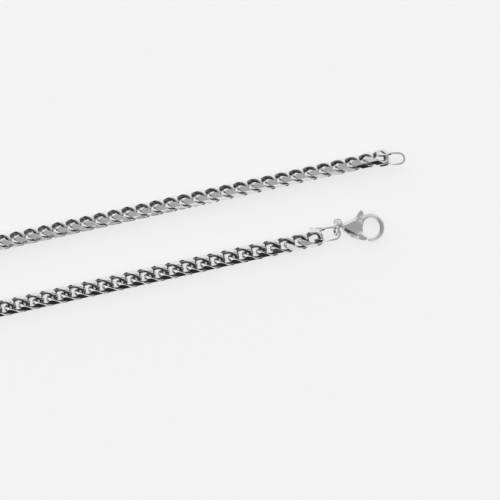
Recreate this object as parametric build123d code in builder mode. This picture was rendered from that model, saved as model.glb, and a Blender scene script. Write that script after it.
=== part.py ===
"""A franco neck chain with its lobster clasp unhooked, lying flat. Millimetres, +Z up.

X runs along the two straight strands: the free ends are at +X and the round of the loop is at -X.
The chain is one run of thick, twisted oval links whose corners are cut flat, so that it is about
square. It starts at the plain end, goes round the loop and ends at the clasp.
"""
import os
from math import acos, copysign, cos, degrees, pi, radians, sin

from build123d import *

# One link: an oval of round wire twisted about the chain's axis, then cut flat on four corners
PITCH = 3.53
WIRE = 1.4
OVAL_HALF_LENGTH = 2.6
OVAL_HALF_WIDTH = 1.7
OVAL_POWER = 0.6
TWIST_HALF = 58
CUT_FACE_DISTANCE = 1.9
CUT_SIDE_DISTANCE = 2.05
RING_STATIONS = (0, 32, 66, 114, 148, 180, 212, 246, 294, 328)
WIRE_CORNERS = (55, 120, 180, -120, -55)
END_LEAN = 0.36

# The loop: two straight strands side by side, opening into a round
STRAND_GAP = 16.0
PLAIN_END_X = 82.0
CLASP_END_X = 61.9
ROUND_RADIUS = 43.0
LINK_STEPS = 136
LINKS_IN_PLAIN_HALF = 68

# How far the links lie rolled about the chain: (steps from the plain end, degrees)
ROLL_TABLE = ((0, 55), (2, 47), (30, 41), (112, -10), (132, -10), (136, -36))

# The folded end cap: two folded cheeks soldered to the last link, and a flat-wire loop
CAP_TAPER_END = 4.15
CAP_STRIP = 0.45
CAP_LOOP_HALF_HEIGHT = 0.55
CAP_MOUTH_SPREAD = 0.6
CAP_CHEEK_LEAN = 1.35
CAP_CHEEK_HALF_HEIGHT = 1.05
CAP_FOLD_LEFT = 0.02

# Each cap was bent by hand: its turn, how far it sits beside the link, where its two cheeks
# start, its whole length and the half width of its loop
PLAIN_CAP = (-12.6, 0, (0.2, 1.1), 7.26, 1.55)
CLASP_CAP = (-4.1, 0.69, (0.3, 1.0), 7.7, 1.75)

# The jump ring, which stands on edge, turned and leaning
RING_WIRE = 0.7
RING_RADIUS = 1.6
RING_FROM_LAST_LINK = (6.98, 1.33)
RING_YAW = 6
RING_LEAN = 22

# The lobster clasp, flat on its side, drawn from a point beside its eye
CLASP_YAW = -12.6
CLASP_FROM_RING = (0.38, 1.4)
EYE_MIDDLE = (-0.15, 0.11)
EYE_HALF_SIZE = (1.02, 0.88)
EYE_HOLE_HALF_SIZE = (0.72, 0.6)
EYE_THICKNESS = 0.7
EYE_RISE = 0.2
CLASP_THICKNESS = 3.0
HOOK_CENTRE = (7.95, -1.25)
HOOK_RADIUS = 3.55
HOLE_CENTRE = (8.05, -1.35)
HOLE_HALF_SIZE = (2.07, 2.45)
PIVOT = (3.6, -2.9)
PIVOT_PIN = 0.5
PIVOT_HOLE = 0.56
LEVER_THICKNESS = 1.1
LEVER_SLOT = 1.5
EDGE_ROUND = 0.35


def power(value, exponent):
    """A signed power, which squares up the ends of the oval."""
    return copysign(abs(value) ** exponent, value)


def oval_point(angle):
    """The middle of the wire at an angle round the twisted oval."""
    x = OVAL_HALF_LENGTH * power(cos(angle), OVAL_POWER)
    width = OVAL_HALF_WIDTH * power(sin(angle), OVAL_POWER)
    turn = radians(TWIST_HALF) * x / OVAL_HALF_LENGTH
    return Vector(x, width * cos(turn), width * sin(turn))


def cut_planes():
    """The flat cuts: four faces at 45 degrees, and the two sides, as (outward normal, distance)."""
    faces = [(radians(angle), CUT_FACE_DISTANCE) for angle in (45, 135, 225, 315)]
    sides = [(radians(angle), CUT_SIDE_DISTANCE) for angle in (0, 180)]
    return [(Vector(0, cos(angle), sin(angle)), distance) for angle, distance in faces + sides]


def outward_at(angle_deg):
    """The way out of the oval: along the chain at its ends, and square to a cut face elsewhere."""
    along = cos(radians(angle_deg))
    across = sin(radians(angle_deg))
    if angle_deg % 180 == 0:
        return Vector(copysign(1, along), 0, 0)
    near_end = angle_deg in (RING_STATIONS[1], RING_STATIONS[4], RING_STATIONS[6], RING_STATIONS[9])
    lean = END_LEAN if near_end else 0
    return Vector(copysign(lean, along), copysign(1, across), copysign(1, across * along))


def wire_section(angle_deg):
    """The corners of the wire's section at one station, moved in to any flat that they pass."""
    angle = radians(angle_deg)
    middle = oval_point(angle)
    tangent = (oval_point(angle + 0.02) - oval_point(angle - 0.02)).normalized()
    outward = outward_at(angle_deg)
    outward = (outward - tangent * outward.dot(tangent)).normalized()
    side = tangent.cross(outward)
    corners = []
    for corner_deg in WIRE_CORNERS:
        corner = radians(corner_deg)
        point = middle + outward * (WIRE / 2 * cos(corner)) + side * (WIRE / 2 * sin(corner))
        for normal, distance in cut_planes():
            beyond = point.dot(normal) - distance
            if beyond > 0:
                point = point - normal * beyond
        corners.append(point)
    return corners


def link_faces():
    """The triangles of one link, in rings of quads split in two."""
    sections = [wire_section(station) for station in RING_STATIONS]
    faces = []
    for here, there in zip(sections, sections[1:] + sections[:1]):
        for corner in range(len(WIRE_CORNERS)):
            after = (corner + 1) % len(WIRE_CORNERS)
            for triangle in (
                (here[corner], here[after], there[after]),
                (here[corner], there[after], there[corner]),
            ):
                faces.append(Face(Wire.make_polygon(triangle, close=True)))
    return faces


def round_turn():
    """The angle by which each strand swings out before it goes round."""
    return acos((STRAND_GAP / 2 + ROUND_RADIUS) / (2 * ROUND_RADIUS))


def route():
    """The chain's way as (length, turn) pieces, the turn in radians and positive to the left."""
    swing = round_turn()
    bends = ROUND_RADIUS * (pi + 4 * swing)
    straight_end_x = (PLAIN_END_X + CLASP_END_X + bends - LINK_STEPS * PITCH) / 2
    return (
        (PLAIN_END_X - straight_end_x, 0),
        (ROUND_RADIUS * swing, -swing),
        (ROUND_RADIUS * (pi + 2 * swing), pi + 2 * swing),
        (ROUND_RADIUS * swing, -swing),
        (CLASP_END_X - straight_end_x, 0),
    )


def place_on_route(distance):
    """The place and heading, in radians, at a distance along the chain's way."""
    x, y, heading = PLAIN_END_X, STRAND_GAP / 2, pi
    for length, turn in route():
        step = min(distance, length)
        if turn:
            radius = length / turn
            x += radius * (sin(heading + step / radius) - sin(heading))
            y -= radius * (cos(heading + step / radius) - cos(heading))
            heading += step / radius
        else:
            x += step * cos(heading)
            y += step * sin(heading)
        distance -= step
    return x, y, heading


def roll_at(step):
    """The roll of a link, in degrees, read between the rows of the table."""
    for (first, low), (last, high) in zip(ROLL_TABLE, ROLL_TABLE[1:]):
        if step <= last:
            return low + (high - low) * (step - first) / (last - first)
    return ROLL_TABLE[-1][1]


def axis_height(roll_deg):
    """How high the chain's axis is when a link of this roll rests on the surface."""
    roll = radians(roll_deg)
    corners = [point for station in RING_STATIONS for point in wire_section(station)]
    return -min(point.Y * sin(roll) + point.Z * cos(roll) for point in corners)


def link_location(step):
    """Where a link lies, counted from the plain end."""
    x, y, heading = place_on_route(step * PITCH)
    roll = roll_at(step)
    upright = Location((x, y, axis_height(roll)), (0, 0, degrees(heading)))
    return upright * Location((0, 0, 0), (roll, 0, 0))


def cheek_section(x, half_width, lean, half_height):
    """The folded strip of a cap's cheek, cut across at x: a V on its side."""
    plane = Plane(origin=(x, 0, 0), x_dir=(0, 1, 0), z_dir=(1, 0, 0))
    inner = half_width - CAP_STRIP
    with BuildSketch(plane) as section:
        with BuildLine():
            Polyline(
                (half_width, 0), (half_width - lean, half_height), (inner - lean, half_height),
                (inner, 0), (inner - lean, -half_height), (half_width - lean, -half_height),
                close=True,
            )
        make_face()
    return section.sketch


def cheek(start, side, loop_half_width):
    """One folded cheek, from its open end to the strip of the loop, on one side of the cap."""
    with BuildPart() as half:
        add(cheek_section(start, loop_half_width + CAP_MOUTH_SPREAD, CAP_CHEEK_LEAN, CAP_CHEEK_HALF_HEIGHT))
        add(cheek_section(CAP_TAPER_END, loop_half_width, CAP_FOLD_LEFT, CAP_LOOP_HALF_HEIGHT))
        loft(ruled=True)
    return half.part if side > 0 else half.part.mirror(Plane.XZ)


def cap_loop(length, loop_half_width):
    """The flat strip of the cap, bent into a long loop and seen from above as a thin oval line."""
    bend_x = length - loop_half_width
    with BuildPart() as loop:
        with BuildSketch():
            for half_width in (loop_half_width, loop_half_width - CAP_STRIP):
                with BuildLine():
                    top = Line((CAP_TAPER_END, half_width), (bend_x, half_width))
                    arc = ThreePointArc(top @ 1, (bend_x + half_width, 0), (bend_x, -half_width))
                    bottom = Line(arc @ 1, (CAP_TAPER_END, -half_width))
                    Line(bottom @ 1, top @ 0)
                make_face(mode=Mode.ADD if half_width == loop_half_width else Mode.SUBTRACT)
        extrude(amount=CAP_LOOP_HALF_HEIGHT, both=True)
    return loop.part


def end_cap(step, yaw, beside, starts, length, loop_half_width):
    """A cap soldered to the link at that step, its loop pointing to +X and turned by yaw."""
    link_place = link_location(step)
    cap_place = Location(link_place.position, (0, 0, yaw)) * Location((0, beside, 0))
    with BuildPart() as cap:
        add(cap_loop(length, loop_half_width).moved(cap_place))
        add(cheek(starts[0], 1, loop_half_width).moved(cap_place))
        add(cheek(starts[1], -1, loop_half_width).moved(cap_place))
        add(link.part.moved(link_place))
    return cap.part


# The link, once, on its own axis
with BuildPart() as link:
    add(Solid(Shell(link_faces())))

# The two halves of the chain, all loose links, which meet in the middle of the round
half_links = {
    "chain_plain_half": range(1, LINKS_IN_PLAIN_HALF),
    "chain_clasp_half": range(LINKS_IN_PLAIN_HALF, LINK_STEPS),
}
pieces = {
    name: Compound(children=[link.part.moved(link_location(step)) for step in steps])
    for name, steps in half_links.items()
}

# The end caps, each one solid with the link that it is soldered to
pieces["end_cap_plain"] = end_cap(0, *PLAIN_CAP)
pieces["end_cap_clasp"] = end_cap(LINK_STEPS, *CLASP_CAP)

# The jump ring, on edge on the surface
ring_height = RING_RADIUS * cos(radians(RING_LEAN)) + RING_WIRE / 2
ring_x = CLASP_END_X + RING_FROM_LAST_LINK[0]
ring_y = RING_FROM_LAST_LINK[1] - STRAND_GAP / 2
ring_yaw = radians(CLASP_YAW - RING_YAW)
ring_normal = (
    cos(ring_yaw) * cos(radians(RING_LEAN)),
    sin(ring_yaw) * cos(radians(RING_LEAN)),
    sin(radians(RING_LEAN)),
)
ring_plane = Plane(origin=(ring_x, ring_y, ring_height), z_dir=ring_normal)
with BuildPart(ring_plane) as jump_ring:
    Torus(RING_RADIUS, RING_WIRE / 2)
pieces["jump_ring"] = jump_ring.part

# The clasp's place: its own origin is beside the eye, half way up the clasp
clasp_turn = Location((ring_x, ring_y, CLASP_THICKNESS / 2), (0, 0, CLASP_YAW))
clasp_place = clasp_turn * Location((*CLASP_FROM_RING, 0))

# The clasp's body: two cheeks that run into the hook, and the eye on its thinner neck
body_outline = (
    (1.0, -0.2), (2.64, 0.45), (4.45, 1.5), (6.1, 1.98), (6.9, 2.1), (5.93, -4.2), (5.1, -4.3),
    (4.45, -4.05), (2.64, -3.3), (1.4, -2.45), (1.0, -1.9),
)
neck_outline = ((-0.1, 0.9), (1.5, -0.2), (1.5, -2.0), (1.0, -1.8), (0.2, -0.5))
mouth_outline = ((5.04, -3.2), (7.75, -3.2), (7.0, -5.4), (5.04, -5.4))
slot_outline = ((1.9, 3.5), (6.35, 3.5), (6.35, 0.6), (6.9, 0.0), (6.9, -5.4), (1.9, -5.4))
with BuildPart() as clasp_body:
    with BuildSketch():
        with BuildLine():
            Polyline(*body_outline, close=True)
        make_face()
        with Locations(HOOK_CENTRE):
            Circle(HOOK_RADIUS)
        with Locations(HOLE_CENTRE):
            Ellipse(*HOLE_HALF_SIZE, mode=Mode.SUBTRACT)
        with BuildLine():
            Polyline(*mouth_outline, close=True)
        make_face(mode=Mode.SUBTRACT)
    extrude(amount=CLASP_THICKNESS / 2, both=True)
    chamfer(clasp_body.edges().group_by(Axis.Z)[-1] + clasp_body.edges().group_by(Axis.Z)[0], EDGE_ROUND)
    with BuildSketch(Plane.XY.offset(EYE_RISE)):
        with BuildLine():
            Polyline(*neck_outline, close=True)
        make_face()
        with Locations(EYE_MIDDLE):
            Ellipse(*EYE_HALF_SIZE)
            Ellipse(*EYE_HOLE_HALF_SIZE, mode=Mode.SUBTRACT)
    extrude(amount=EYE_THICKNESS / 2, both=True)
    with BuildSketch():
        with BuildLine():
            Polyline(*slot_outline, close=True)
        make_face()
    extrude(amount=LEVER_SLOT / 2, both=True, mode=Mode.SUBTRACT)
    with BuildSketch():
        with Locations(PIVOT):
            Circle(PIVOT_PIN)
    extrude(amount=CLASP_THICKNESS / 2 - EDGE_ROUND, both=True)
pieces["clasp_body"] = clasp_body.part.moved(clasp_place)

# The clasp's lever: thumb tab above, gate below, turning on the pivot pin in the slot
lever_outline = (
    (3.0, -3.5), (5.2, -4.15), (6.3, -4.42), (6.9, -4.3), (7.35, -3.85), (6.7, -3.4), (5.75, -3.1),
    (5.75, 0.9), (6.2, 1.6), (6.25, 2.3), (5.95, 3.05), (5.5, 3.1), (5.05, 2.6), (4.15, 1.2), (2.85, -2.3),
)
with BuildPart() as clasp_lever:
    with BuildSketch():
        with BuildLine():
            Polyline(*lever_outline, close=True)
        make_face()
        with Locations(PIVOT):
            Circle(PIVOT_HOLE, mode=Mode.SUBTRACT)
    extrude(amount=LEVER_THICKNESS / 2, both=True)
pieces["clasp_lever"] = clasp_lever.part.moved(clasp_place)

# Everything moves so that the origin is the middle of the box, on the surface
box = Compound(children=[piece.moved(Location()) for piece in pieces.values()]).bounding_box()
to_origin = Location((-(box.min.X + box.max.X) / 2, -(box.min.Y + box.max.Y) / 2, 0))
os.makedirs("parts", exist_ok=True)
for name, piece in pieces.items():
    piece = piece.moved(to_origin)
    piece.label = name
    export_step(piece, f"parts/{name}.step")

pivot_place = (to_origin * clasp_place * Location((*PIVOT, 0))).position
print("box", box.min, box.max, "moved by", to_origin.position)
print("lever pivot", pivot_place, "route", [tuple(round(v, 2) for v in leg) for leg in route()])
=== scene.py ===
"""Looks of a franco neck chain in polished silver, with its end caps, jump ring and lobster clasp.

Lengths are in millimetres until a finished mesh is scaled down to the frame's metres.
"""
from math import acos, atan2, copysign, cos, hypot, pi, radians, sin

import bpy
from mathutils import Matrix, Vector


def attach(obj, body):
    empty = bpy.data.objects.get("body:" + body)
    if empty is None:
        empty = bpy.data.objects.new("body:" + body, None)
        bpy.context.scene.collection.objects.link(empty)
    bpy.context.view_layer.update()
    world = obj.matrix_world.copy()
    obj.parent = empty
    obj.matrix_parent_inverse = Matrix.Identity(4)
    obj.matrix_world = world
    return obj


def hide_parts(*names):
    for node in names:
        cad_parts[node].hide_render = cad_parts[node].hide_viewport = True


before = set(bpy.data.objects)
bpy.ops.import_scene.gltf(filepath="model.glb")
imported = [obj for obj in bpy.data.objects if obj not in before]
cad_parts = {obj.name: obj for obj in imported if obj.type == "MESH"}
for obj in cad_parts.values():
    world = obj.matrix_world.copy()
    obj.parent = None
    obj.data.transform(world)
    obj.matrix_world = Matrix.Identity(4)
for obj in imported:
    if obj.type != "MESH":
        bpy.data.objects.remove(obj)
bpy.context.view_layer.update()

MM = 0.001

# The chain's way, as in the part's source
PITCH = 3.53
STRAND_GAP = 16.0
PLAIN_END_X = 82.0
CLASP_END_X = 61.9
ROUND_RADIUS = 43.0
LINK_STEPS = 136
LINKS_IN_PLAIN_HALF = 68
ROLL_TABLE = ((0, 55), (2, 47), (30, 41), (112, -10), (132, -10), (136, -36))
TO_ORIGIN = Vector((22.615, -0.067405, 0))

# One link: round wire along a twisted oval, cut flat on four corners and both sides
WIRE = 1.4
OVAL_HALF_LENGTH = 2.6
OVAL_HALF_WIDTH = 1.7
OVAL_POWER = 0.6
TWIST_HALF = 58
CUT_FACE_DISTANCE = 1.87
CUT_SIDE_DISTANCE = 2.0
LINK_STATIONS = 44
WIRE_SIDES = 12
UNBENT_RADIUS = 2.0

# The folded strip of the end caps
CAP_TAPER_END = 4.15
CAP_STRIP = 0.45
CAP_LOOP_HALF_HEIGHT = 0.55
CAP_MOUTH_SPREAD = 0.6
CAP_CHEEK_LEAN = 1.35
CAP_CHEEK_HALF_HEIGHT = 1.05

# Each cap: its turn, how far it sits beside the link, where its two cheeks start, its whole
# length and the half width of its loop
PLAIN_CAP = (-12.6, 0, (0.2, 1.1), 7.26, 1.55)
CLASP_CAP = (-4.1, 0.69, (0.3, 1.0), 7.7, 1.75)

# The jump ring
RING_WIRE = 0.7
RING_RADIUS = 1.6
RING_PLACE = (68.88, -6.67)
RING_YAW = -18.6
RING_LEAN = 22

# The lobster clasp, drawn from a point beside its eye, flat on its side
CLASP_YAW = -12.6
CLASP_FROM_RING = (0.38, 1.4)
CLASP_THICKNESS = 3.0
EYE_MIDDLE = (-0.15, 0.11)
HOOK_CENTRE = (7.95, -1.25)
HOOK_RADIUS = 3.55
HOLE_CENTRE = (8.05, -1.35)
HOLE_HALF_SIZE = (2.07, 2.45)
HOOK_FIRST_TURN = 138
HOOK_LAST_TURN = -102
HOOK_TURN_STEP = 6
HOOK_SIDES = 20
DISH_SIDES = 60
# The dish round the hole: how far each of its rings is wider than the hole, and its height
DISH_RINGS = ((2.1, -1.8), (0.0, -0.72), (0.0, 0.72), (2.1, 1.8))
LEVER_THICKNESS = 1.1
LEVER_SLOT = 1.5

# The picture is turned against the frame by the slope of the strands
PICTURE_SLOPE = 12.6
# What the camera sees, in metres: the picture's middle on the floor, and its width
VIEW_MIDDLE = (0.06941, -0.00731, 0)
PICTURE_WIDTH = 0.1235
LENS = 100
SENSOR_WIDTH = 36


# ---------------------------------------------------------------- small helpers

def srgb(hex_text):
    """A colour from its sRGB hex value, in Blender's linear light."""
    parts = [int(hex_text[i:i + 2], 16) / 255 for i in (1, 3, 5)]
    return (*[c / 12.92 if c <= 0.04045 else ((c + 0.055) / 1.055) ** 2.4 for c in parts], 1)


def add_node(tree, kind, inputs=None, **settings):
    """Adds a node, sets its attributes, and fills or links its inputs."""
    node = tree.nodes.new(kind)
    for name, value in settings.items():
        setattr(node, name, value)
    for name, value in (inputs or {}).items():
        if isinstance(value, bpy.types.NodeSocket):
            tree.links.new(value, node.inputs[name])
        else:
            node.inputs[name].default_value = value
    return node


def deselect_all():
    bpy.ops.object.select_all(action="DESELECT")


def keep_selected(piece):
    """Makes one object the only selected one, and the active one."""
    deselect_all()
    piece.select_set(True)
    bpy.context.view_layer.objects.active = piece


def apply_modifier(piece, kind, **settings):
    keep_selected(piece)
    modifier = piece.modifiers.new(kind.lower(), kind)
    for name, value in settings.items():
        setattr(modifier, name, value)
    bpy.ops.object.modifier_apply(modifier=modifier.name)


def join(pieces, name):
    """Joins finished meshes into one piece."""
    keep_selected(pieces[0])
    for piece in pieces:
        piece.select_set(True)
    bpy.ops.object.join()
    pieces[0].name = pieces[0].data.name = name
    return pieces[0]


def settle(piece, angle=32):
    """Takes a finished piece from millimetres to the frame's metres, with outward faces."""
    keep_selected(piece)
    piece.data.transform(Matrix.Scale(MM, 4) @ Matrix.Translation(TO_ORIGIN) @ piece.matrix_world)
    piece.matrix_world = Matrix.Identity(4)
    bpy.ops.object.mode_set(mode="EDIT")
    bpy.ops.mesh.select_all(action="SELECT")
    bpy.ops.mesh.normals_make_consistent(inside=False)
    bpy.ops.object.mode_set(mode="OBJECT")
    bpy.ops.object.shade_smooth_by_angle(angle=radians(angle))
    # Flat faces keep their own normal right up to their edges
    apply_modifier(piece, "WEIGHTED_NORMAL", keep_sharp=True, weight=90)
    return piece


def power(value, exponent):
    return copysign(abs(value) ** exponent, value)


# ---------------------------------------------------------------- where the links lie

def route():
    """The chain's way as (length, turn) pieces, the turn in radians and positive to the left."""
    swing = acos((STRAND_GAP / 2 + ROUND_RADIUS) / (2 * ROUND_RADIUS))
    bends = ROUND_RADIUS * (pi + 4 * swing)
    straight_end_x = (PLAIN_END_X + CLASP_END_X + bends - LINK_STEPS * PITCH) / 2
    return (
        (PLAIN_END_X - straight_end_x, 0),
        (ROUND_RADIUS * swing, -swing),
        (ROUND_RADIUS * (pi + 2 * swing), pi + 2 * swing),
        (ROUND_RADIUS * swing, -swing),
        (CLASP_END_X - straight_end_x, 0),
    )


def place_on_route(distance):
    x, y, heading = PLAIN_END_X, STRAND_GAP / 2, pi
    for length, turn in route():
        step = min(distance, length)
        if turn:
            radius = length / turn
            x += radius * (sin(heading + step / radius) - sin(heading))
            y -= radius * (cos(heading + step / radius) - cos(heading))
            heading += step / radius
        else:
            x += step * cos(heading)
            y += step * sin(heading)
        distance -= step
    return x, y, heading


def roll_at(step):
    for (first, low), (last, high) in zip(ROLL_TABLE, ROLL_TABLE[1:]):
        if step <= last:
            return low + (high - low) * (step - first) / (last - first)
    return ROLL_TABLE[-1][1]


# ---------------------------------------------------------------- the link

def oval_point(angle):
    """The middle of the wire at an angle round the twisted oval, and the oval's own normal there."""
    x = OVAL_HALF_LENGTH * power(cos(angle), OVAL_POWER)
    width = OVAL_HALF_WIDTH * power(sin(angle), OVAL_POWER)
    turn = radians(TWIST_HALF) * x / OVAL_HALF_LENGTH
    return Vector((x, width * cos(turn), width * sin(turn))), Vector((0, -sin(turn), cos(turn)))


def even_angles(count):
    """Angles round the oval that lie evenly along its wire."""
    fine = [2 * pi * i / 2000 for i in range(2001)]
    points = [oval_point(angle)[0] for angle in fine]
    run = [0.0]
    for here, there in zip(points, points[1:]):
        run.append(run[-1] + (there - here).length)
    angles, at = [], 0
    for i in range(count):
        while run[at + 1] < run[-1] * i / count:
            at += 1
        angles.append(fine[at])
    return angles


def make_link():
    """One link on its own axis: a ring wrapped round the twisted oval, then its corners cut flat."""
    deselect_all()
    bpy.ops.mesh.primitive_torus_add(
        major_segments=LINK_STATIONS, minor_segments=WIRE_SIDES,
        major_radius=UNBENT_RADIUS, minor_radius=WIRE / 2,
    )
    link = bpy.context.object
    angles = even_angles(LINK_STATIONS)
    # Painted shade: how far each point lies on the inner side of the wire, which the material darkens
    inner_shade = link.data.attributes.new("inner_shade", "FLOAT", "POINT")
    for vertex in link.data.vertices:
        around = atan2(vertex.co.y, vertex.co.x) % (2 * pi)
        out = hypot(vertex.co.x, vertex.co.y) - UNBENT_RADIUS
        inner_shade.data[vertex.index].value = 0.5 - out / WIRE
        angle = angles[round(around / (2 * pi) * LINK_STATIONS) % LINK_STATIONS]
        middle, normal = oval_point(angle)
        tangent = (oval_point(angle + 0.01)[0] - oval_point(angle - 0.01)[0]).normalized()
        outward = tangent.cross(normal).normalized()
        side = outward.cross(tangent)
        vertex.co = middle + outward * out + side * vertex.co.z
    cuts = [(angle, CUT_FACE_DISTANCE) for angle in (45, 135, 225, 315)]
    cuts += [(angle, CUT_SIDE_DISTANCE) for angle in (0, 180)]
    bpy.ops.object.mode_set(mode="EDIT")
    for angle, distance in cuts:
        normal = Vector((0, cos(radians(angle)), sin(radians(angle))))
        bpy.ops.mesh.select_all(action="SELECT")
        bpy.ops.mesh.bisect(
            plane_co=normal * distance, plane_no=normal, use_fill=True, clear_outer=True,
        )
    bpy.ops.object.mode_set(mode="OBJECT")
    return link


def link_copy(link, step):
    """A copy of the link, with its own mesh, where that link of the chain lies."""
    x, y, heading = place_on_route(step * PITCH)
    turned = Matrix.Rotation(heading, 4, "Z") @ Matrix.Rotation(radians(roll_at(step)), 4, "X")
    copy = bpy.data.objects.new("link", link.data.copy())
    bpy.context.scene.collection.objects.link(copy)
    copy.data.transform(turned)
    lowest = min(vertex.co.z for vertex in copy.data.vertices)
    copy.data.transform(Matrix.Translation((x, y, -lowest)))
    return copy, (x, y, -lowest)


# ---------------------------------------------------------------- the end caps

def cap_stations(starts, length, loop_half_width):
    """The outer line of the cap's strip: (x, y, outward normal, half height, lean) from mouth to mouth."""
    stations = []
    for side, start in ((1, starts[0]), (-1, starts[1])):
        leg = []
        for share in (0, 0.2, 0.4, 0.6, 0.8, 1):
            x = start + (CAP_TAPER_END - start) * share
            y = loop_half_width + CAP_MOUTH_SPREAD * (1 - share)
            lean = CAP_CHEEK_LEAN * (1 - share ** 2.2)
            half_height = CAP_CHEEK_HALF_HEIGHT + (CAP_LOOP_HALF_HEIGHT - CAP_CHEEK_HALF_HEIGHT) * share
            leg.append((x, y * side, Vector((0, side, 0)), half_height, lean))
        stations.append(leg)
    bend_x = length - loop_half_width
    bend = []
    for turn in range(90, -91, -12):
        way = Vector((cos(radians(turn)), sin(radians(turn)), 0))
        bend.append((
            bend_x + loop_half_width * way.x, loop_half_width * way.y,
            way, CAP_LOOP_HALF_HEIGHT, 0,
        ))
    return stations[0] + bend + stations[1][::-1]


def make_cap(name, link, step, yaw, beside, starts, length, loop_half_width):
    """A cap: a grid bent along the strip's line and folded at the mouth, with its soldered link."""
    stations = cap_stations(starts, length, loop_half_width)
    rows = (-1, -0.55, -0.12, 0.12, 0.55, 1)
    deselect_all()
    bpy.ops.mesh.primitive_grid_add(x_subdivisions=len(stations) - 1, y_subdivisions=len(rows) - 1, size=2)
    strip = bpy.context.object
    for vertex in strip.data.vertices:
        along = round((vertex.co.x + 1) / 2 * (len(stations) - 1))
        up = rows[round((vertex.co.y + 1) / 2 * (len(rows) - 1))]
        x, y, way, half_height, lean = stations[along]
        vertex.co = Vector((x, y, up * half_height)) - way * (lean * max(abs(up) - 0.06, 0))
    keep_selected(strip)
    bpy.ops.object.mode_set(mode="EDIT")
    bpy.ops.mesh.select_all(action="SELECT")
    bpy.ops.mesh.normals_make_consistent(inside=False)
    bpy.ops.object.mode_set(mode="OBJECT")
    outward = strip.data.polygons[0].normal.y > 0
    middle = strip.data.polygons[0].center.y > 0
    if outward != middle:
        strip.data.flip_normals()
    apply_modifier(strip, "SOLIDIFY", thickness=CAP_STRIP, offset=-1)
    apply_modifier(strip, "BEVEL", width=0.09, segments=3, limit_method="ANGLE", angle_limit=radians(50))
    soldered, place = link_copy(link, step)
    strip.data.transform(
        Matrix.Translation(place) @ Matrix.Rotation(radians(yaw), 4, "Z") @ Matrix.Translation((0, beside, 0))
    )
    return join([strip, soldered], name)


# ---------------------------------------------------------------- the clasp

def arc(centre, half_size, first, last, step=10):
    """Points along an arc, its angles in degrees."""
    count = max(round(abs(last - first) / step), 1)
    turns = [radians(first + (last - first) * i / count) for i in range(count + 1)]
    return [(centre[0] + half_size[0] * cos(t), centre[1] + half_size[1] * sin(t)) for t in turns]


def plate(name, outline, thickness, rounding, hole=(), rise=0.0):
    """A plate cut to an outline, whose edges are rounded over on both faces."""
    curve = bpy.data.curves.new(name, "CURVE")
    curve.dimensions = "2D"
    curve.fill_mode = "BOTH"
    curve.resolution_u = 1
    for loop in (outline, hole):
        if loop:
            line = curve.splines.new("POLY")
            line.points.add(len(loop) - 1)
            for point, (x, y) in zip(line.points, loop):
                point.co = (x, y, 0, 1)
            line.use_cyclic_u = True
    curve.extrude = thickness / 2 - rounding
    curve.bevel_depth = rounding
    curve.bevel_resolution = 3
    curve.offset = -rounding
    piece = bpy.data.objects.new(name, curve)
    bpy.context.scene.collection.objects.link(piece)
    keep_selected(piece)
    bpy.ops.object.convert(target="MESH")
    piece = bpy.context.object
    piece.data.transform(Matrix.Translation((0, 0, rise)))
    bpy.ops.object.mode_set(mode="EDIT")
    bpy.ops.mesh.select_all(action="SELECT")
    bpy.ops.mesh.remove_doubles(threshold=0.001)
    bpy.ops.mesh.normals_make_consistent(inside=False)
    bpy.ops.object.mode_set(mode="OBJECT")
    return piece


def put_at_clasp(piece):
    """Moves a piece drawn from the clasp's eye to where the clasp lies."""
    piece.data.transform(
        Matrix.Translation((*RING_PLACE, CLASP_THICKNESS / 2)) @ Matrix.Rotation(radians(CLASP_YAW), 4, "Z")
        @ Matrix.Translation((*CLASP_FROM_RING, 0))
    )
    return piece


def loft(name, sections):
    """A grid wrapped round sections of points, one ring of points for each, with flat ends."""
    deselect_all()
    around = len(sections[0])
    bpy.ops.mesh.primitive_grid_add(x_subdivisions=len(sections) - 1, y_subdivisions=around, size=2)
    piece = bpy.context.object
    piece.name = piece.data.name = name
    for vertex in piece.data.vertices:
        section = sections[round((vertex.co.x + 1) / 2 * (len(sections) - 1))]
        vertex.co = section[round((vertex.co.y + 1) / 2 * around) % around]
    bpy.ops.object.mode_set(mode="EDIT")
    bpy.ops.mesh.select_all(action="SELECT")
    bpy.ops.mesh.remove_doubles(threshold=0.0005)
    bpy.ops.mesh.select_all(action="DESELECT")
    bpy.ops.mesh.select_mode(type="EDGE")
    bpy.ops.mesh.select_non_manifold(extend=False)
    bpy.ops.mesh.edge_face_add()
    bpy.ops.mesh.select_all(action="SELECT")
    bpy.ops.mesh.normals_make_consistent(inside=False)
    bpy.ops.object.mode_set(mode="OBJECT")
    return piece


# The wedge in sections across the clasp: x, the outer line below and above, and the two edges
# of the flat face between its slopes
WEDGE_SECTIONS = (
    (1.0, -1.9, -0.2, -0.98, -0.82), (1.4, -2.4, -0.02, -1.15, -0.75), (2.64, -3.3, 0.45, -1.85, -0.25),
    (4.45, -4.05, 1.45, -2.9, 0.55), (5.3, -4.3, 1.8, -3.35, 0.95), (6.2, -4.35, 1.95, -3.6, 1.3),
)
WEDGE_TOP = 1.5
WEDGE_SHOULDER = 0.85


def make_clasp_wedge():
    """The wedge: a flat face between two slopes, and steeper flanks down to the sides."""
    sections = []
    for x, low, high, face_low, face_high in WEDGE_SECTIONS:
        below = low + 0.5 * min(1, (face_low - low) / 1.45)
        above = high - 0.25
        upper = [
            (below, WEDGE_SHOULDER), (face_low, WEDGE_TOP), (face_high, WEDGE_TOP), (above, WEDGE_SHOULDER),
        ]
        ring = [(low, 0)] + upper + [(high, 0)] + [(y, -z) for y, z in upper[::-1]]
        sections.append([Vector((x, y, z)) for y, z in ring])
    return loft("wedge", sections)


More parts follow.
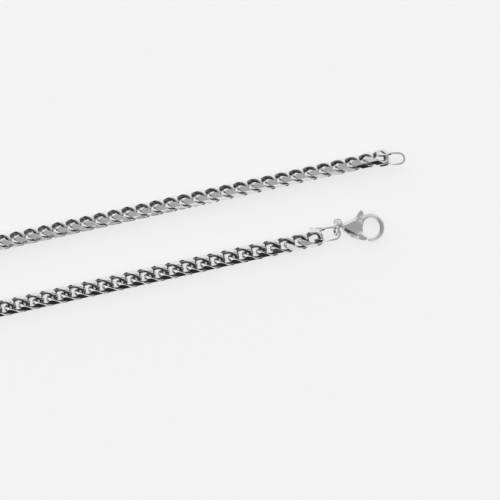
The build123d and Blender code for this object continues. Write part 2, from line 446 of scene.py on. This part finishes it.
def make_clasp_hook():
    """The hook: an egg-shaped bar swept round from the wedge's top to its thin tip."""
    sections = []
    turns = list(range(HOOK_FIRST_TURN, HOOK_LAST_TURN - 1, -HOOK_TURN_STEP))
    for turn in turns:
        way = radians(turn)
        outer = Vector((HOOK_CENTRE[0] + HOOK_RADIUS * cos(way), HOOK_CENTRE[1] + HOOK_RADIUS * sin(way), 0))
        inner = Vector((
            HOLE_CENTRE[0] + HOLE_HALF_SIZE[0] * cos(way), HOLE_CENTRE[1] + HOLE_HALF_SIZE[1] * sin(way), 0,
        ))
        middle, half = (outer + inner) / 2, (outer - inner) / 2
        share = (turns[0] - turn) / (turns[0] - turns[-1])
        end = max(share - 0.95, 0) / 0.05
        size = 1 - 0.35 * end ** 2
        height = (1.45 - 0.35 * share) * size
        ring = []
        for k in range(HOOK_SIDES):
            around = 2 * pi * k / HOOK_SIDES
            rise = Vector((0, 0, height * power(sin(around), 0.85)))
            ring.append(middle + half * (power(cos(around), 0.85) * size) + rise)
        sections.append(ring)
    return loft("hook", sections)


def make_clasp_body():
    """The cast body: the wedge and the hook run together, dished round the hole, slotted, on its eye."""
    body = make_clasp_wedge()
    dish = loft("dish", [
        [
            Vector((
                HOLE_CENTRE[0] + (HOLE_HALF_SIZE[0] + wider) * cos(2 * pi * k / DISH_SIDES),
                HOLE_CENTRE[1] + (HOLE_HALF_SIZE[1] + wider) * sin(2 * pi * k / DISH_SIDES), z,
            )) for k in range(DISH_SIDES)
        ] for wider, z in DISH_RINGS
    ])
    mouth = plate("mouth", ((5.1, -3.2), (9.5, -3.2), (9.5, -5.4), (5.1, -5.4)), 4.0, 0.02)
    for cutter in (dish, mouth):
        apply_modifier(body, "BOOLEAN", operation="DIFFERENCE", solver="EXACT", object=cutter)
        bpy.data.objects.remove(cutter)
    hook = make_clasp_hook()
    slot = plate("slot", (
        (1.9, 3.5), (6.35, 3.5), (6.35, 0.6), (6.9, 0.0), (6.9, -5.4), (1.9, -5.4),
    ), LEVER_SLOT, 0.02)
    for part in (body, hook):
        apply_modifier(part, "BOOLEAN", operation="DIFFERENCE", solver="EXACT", object=slot)
    apply_modifier(body, "BOOLEAN", operation="UNION", solver="EXACT", object=hook)
    for used in (hook, slot):
        bpy.data.objects.remove(used)
    apply_modifier(body, "BEVEL", width=0.07, segments=2, limit_method="ANGLE", angle_limit=radians(24))
    eye_outline = arc(EYE_MIDDLE, (1.02, 0.88), 45, 285)
    eye_outline += [(1.2, -1.6), (1.7, -1.8), (1.7, -0.35), (1.2, -0.3)]
    eye = plate("eye", eye_outline, 0.7, 0.2, hole=arc(EYE_MIDDLE, (0.72, 0.6), 0, 345, 15), rise=0.2)
    return join([body, eye], "clasp_casting")


def make_clasp_lever():
    """The lever: the thumb tab at its top and the gate's nose at its bottom."""
    lever_outline = (
        (3.0, -3.5), (5.2, -4.15), (6.3, -4.42), (6.9, -4.3), (7.35, -3.85), (6.7, -3.4), (5.75, -3.1),
        (5.75, 0.9), (6.2, 1.6), (6.25, 2.3), (5.95, 3.05), (5.5, 3.1), (5.05, 2.6), (4.15, 1.2),
        (2.85, -2.3),
    )
    return plate("clasp_thumb_lever", lever_outline, LEVER_THICKNESS, 0.2)


# ---------------------------------------------------------------- finishes

def polished_silver(name, tint, roughness, ripple):
    """Rhodium-plated sterling silver, tumbled and polished: a cool bright mirror whose surface
    still waves a little and carries hairline scratches, so its reflections break up softly."""
    material = bpy.data.materials.new(name)
    material.use_nodes = True
    tree = material.node_tree
    shader = tree.nodes["Principled BSDF"]
    shader.inputs["Metallic"].default_value = 1.0
    where = add_node(tree, "ShaderNodeTexCoord").outputs["Object"]
    # Tumbling leaves waves about 0.8 mm long, and wear leaves patches about 0.3 mm across
    waves = add_node(tree, "ShaderNodeTexNoise", {"Vector": where, "Scale": 1250.0, "Detail": 1.0})
    patches = add_node(tree, "ShaderNodeTexNoise", {"Vector": where, "Scale": 3300.0, "Detail": 3.0})
    rough = add_node(tree, "ShaderNodeMapRange", {
        "Value": patches.outputs["Fac"], "From Min": 0.3, "From Max": 0.7,
        "To Min": roughness * 0.7, "To Max": roughness * 1.4,
    })
    tone = add_node(tree, "ShaderNodeValToRGB", {"Fac": patches.outputs["Fac"]})
    tone.color_ramp.elements[0].color = srgb(tint[0])
    tone.color_ramp.elements[1].color = srgb(tint[1])
    bump = add_node(tree, "ShaderNodeBump", {
        "Height": waves.outputs["Fac"], "Strength": ripple, "Distance": 0.00002,
    })
    # Painted shade: the inner side of each link's wire, where the links pass through one another, is
    # mixed toward dark grey, so the chain is darker between its links than this room makes a bright mirror
    inside = add_node(tree, "ShaderNodeAttribute", attribute_name="inner_shade")
    painted_shade = add_node(tree, "ShaderNodeMapRange", {
        "Value": inside.outputs["Fac"], "From Min": 0.45, "From Max": 0.65, "To Min": 0.0, "To Max": 0.8,
    })
    # Mix has its factor, A and B for colours at 0, 6 and 7
    # The dark grey here is painted shade on the links' inner sides
    colour = add_node(tree, "ShaderNodeMix", {
        0: painted_shade.outputs["Result"], 6: tone.outputs["Color"], 7: srgb("#3a3a3c"),
    }, data_type="RGBA")
    tree.links.new(colour.outputs[2], shader.inputs["Base Color"])
    tree.links.new(rough.outputs["Result"], shader.inputs["Roughness"])
    tree.links.new(bump.outputs["Normal"], shader.inputs["Normal"])
    return material


def dress(piece, material, body, slot_name, *nodes):
    """Gives a finished piece its material and its body, and hides the nodes that it stands for; slot_name is
    not used.
    """
    piece.data.materials.clear()
    piece.data.materials.append(material)
    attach(piece, body)
    if nodes:
        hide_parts(*nodes)


chain_silver = polished_silver("diamond_cut_silver", ("#e9e9ea", "#f4f4f4"), 0.07, 0.25)
cap_silver = polished_silver("stamped_silver", ("#e2e2e4", "#efeff0"), 0.12, 0.3)
cast_silver = polished_silver("cast_polished_silver", ("#dcdcdf", "#ebebec"), 0.13, 0.5)

# ---------------------------------------------------------------- the pieces

link = make_link()
for name, steps in (
    ("chain_plain_half", range(1, LINKS_IN_PLAIN_HALF)),
    ("chain_clasp_half", range(LINKS_IN_PLAIN_HALF, LINK_STEPS)),
):
    run = settle(join([link_copy(link, step)[0] for step in steps], name + "_links"))
    dress(run, chain_silver, "necklace", "chain_metal", name)

plain_cap = settle(make_cap("plain_cap", link, 0, *PLAIN_CAP))
dress(plain_cap, cap_silver, "necklace", "findings_metal", "end_cap_plain")
clasp_cap = settle(make_cap("clasp_cap", link, LINK_STEPS, *CLASP_CAP))
dress(clasp_cap, cap_silver, "necklace", "findings_metal", "end_cap_clasp")
bpy.data.objects.remove(link)

# The jump ring stands on edge, leaning
deselect_all()
bpy.ops.mesh.primitive_torus_add(
    major_segments=72, minor_segments=18, major_radius=RING_RADIUS, minor_radius=RING_WIRE / 2,
)
ring = bpy.context.object
ring.name = ring.data.name = "jump_ring_wire"
ring_height = RING_RADIUS * cos(radians(RING_LEAN)) + RING_WIRE / 2
ring.data.transform(
    Matrix.Translation((*RING_PLACE, ring_height)) @ Matrix.Rotation(radians(RING_YAW), 4, "Z")
    @ Matrix.Rotation(radians(90 - RING_LEAN), 4, "Y")
)
dress(settle(ring), cap_silver, "necklace", "findings_metal", "jump_ring")

body = settle(put_at_clasp(make_clasp_body()))
dress(body, cast_silver, "necklace", "clasp_metal", "clasp_body")
lever = settle(put_at_clasp(make_clasp_lever()))
dress(lever, cast_silver, "lever", "clasp_metal", "clasp_lever")

# ---------------------------------------------------------------- floor, light and camera

slope = radians(PICTURE_SLOPE)
picture_right = Vector((cos(slope), -sin(slope), 0))
picture_up = Vector((sin(slope), cos(slope), 0))
view_middle = Vector(VIEW_MIDDLE)

deselect_all()
bpy.ops.mesh.primitive_plane_add(size=6, location=(0, 0, 0))
floor = bpy.context.object
floor.name = "floor"
# A light table's white acrylic: it glows a little, so shadows on it stay faint
acrylic = bpy.data.materials.new("opal_acrylic")
acrylic.use_nodes = True
acrylic_shader = acrylic.node_tree.nodes["Principled BSDF"]
acrylic_shader.inputs["Base Color"].default_value = srgb("#8a8a8b")
acrylic_shader.inputs["Roughness"].default_value = 0.9
acrylic_shader.inputs["Specular IOR Level"].default_value = 0.1
acrylic_shader.inputs["Emission Color"].default_value = (1, 1, 1, 1)
acrylic_shader.inputs["Emission Strength"].default_value = 0.68
floor.data.materials.append(acrylic)

# The room round the chain, from the picture's top over it to its bottom: a bright wall, grey
# overhead, a strip of light, a dark side, and light again just above the floor
world = bpy.data.worlds.new("light_tent")
bpy.context.scene.world = world
world.use_nodes = True
tree = world.node_tree
direction = add_node(tree, "ShaderNodeTexCoord").outputs["Generated"]
across = add_node(
    tree, "ShaderNodeVectorMath", {0: direction, 1: picture_up}, operation="DOT_PRODUCT",
)
height = add_node(tree, "ShaderNodeSeparateXYZ", {"Vector": direction})
turn = add_node(
    tree, "ShaderNodeMath", {0: height.outputs["Z"], 1: across.outputs["Value"]}, operation="ARCTAN2",
)
share = add_node(tree, "ShaderNodeMath", {0: turn.outputs[0], 1: pi}, operation="DIVIDE")
ramp = add_node(tree, "ShaderNodeValToRGB", {"Fac": share.outputs[0]})
stops = (
    (0.0, 0.85), (0.12, 0.95), (0.34, 1.0), (0.4, 0.45), (0.62, 0.42), (0.66, 0.8), (0.71, 0.7),
    (0.74, 0.03), (0.95, 0.02), (0.97, 0.85),
)
for place, value in stops[2:]:
    ramp.color_ramp.elements.new(place)
for element, (place, value) in zip(ramp.color_ramp.elements, stops):
    element.position = place
    element.color = (value, value, value, 1)
# Black cards beyond the left and right ends of the strands
along = add_node(tree, "ShaderNodeVectorMath", {0: direction, 1: picture_right}, operation="DOT_PRODUCT")
endwise = add_node(tree, "ShaderNodeMath", {0: along.outputs["Value"]}, operation="ABSOLUTE")
card = add_node(tree, "ShaderNodeMapRange", {
    "Value": endwise.outputs[0], "From Min": 0.88, "From Max": 0.92, "To Min": 1.0, "To Max": 0.05,
})
above = add_node(tree, "ShaderNodeMath", {0: height.outputs["Z"], 1: 0.05}, operation="LESS_THAN")
shade = add_node(tree, "ShaderNodeMath", {0: card.outputs["Result"], 1: above.outputs[0]}, operation="MAXIMUM")
background = tree.nodes["Background"]
tree.links.new(ramp.outputs["Color"], background.inputs["Color"])
tree.links.new(shade.outputs[0], background.inputs["Strength"])

deselect_all()
bpy.ops.object.light_add(type="SUN", location=(0.1, 0.15, 0.9))
softbox = bpy.context.object
softbox.name = "overhead_soft_light"
softbox.data.energy = 0.9
softbox.data.angle = radians(100)
softbox.visible_glossy = False
softbox.rotation_euler = (Vector((0.07, 0, 0)) - softbox.location).to_track_quat("-Z", "Y").to_euler()

camera_data = bpy.data.cameras.new("camera")
camera = bpy.data.objects.new("camera", camera_data)
bpy.context.scene.collection.objects.link(camera)
camera_data.lens = LENS
camera_data.sensor_width = SENSOR_WIDTH
distance = PICTURE_WIDTH / SENSOR_WIDTH * LENS
camera.location = view_middle + Vector((0, 0, distance + 0.002))
camera.rotation_euler = (0, 0, -slope)
camera_data.clip_start, camera_data.clip_end = 0.01, 20
bpy.context.scene.camera = camera
bpy.context.scene.view_settings.view_transform = "Standard"
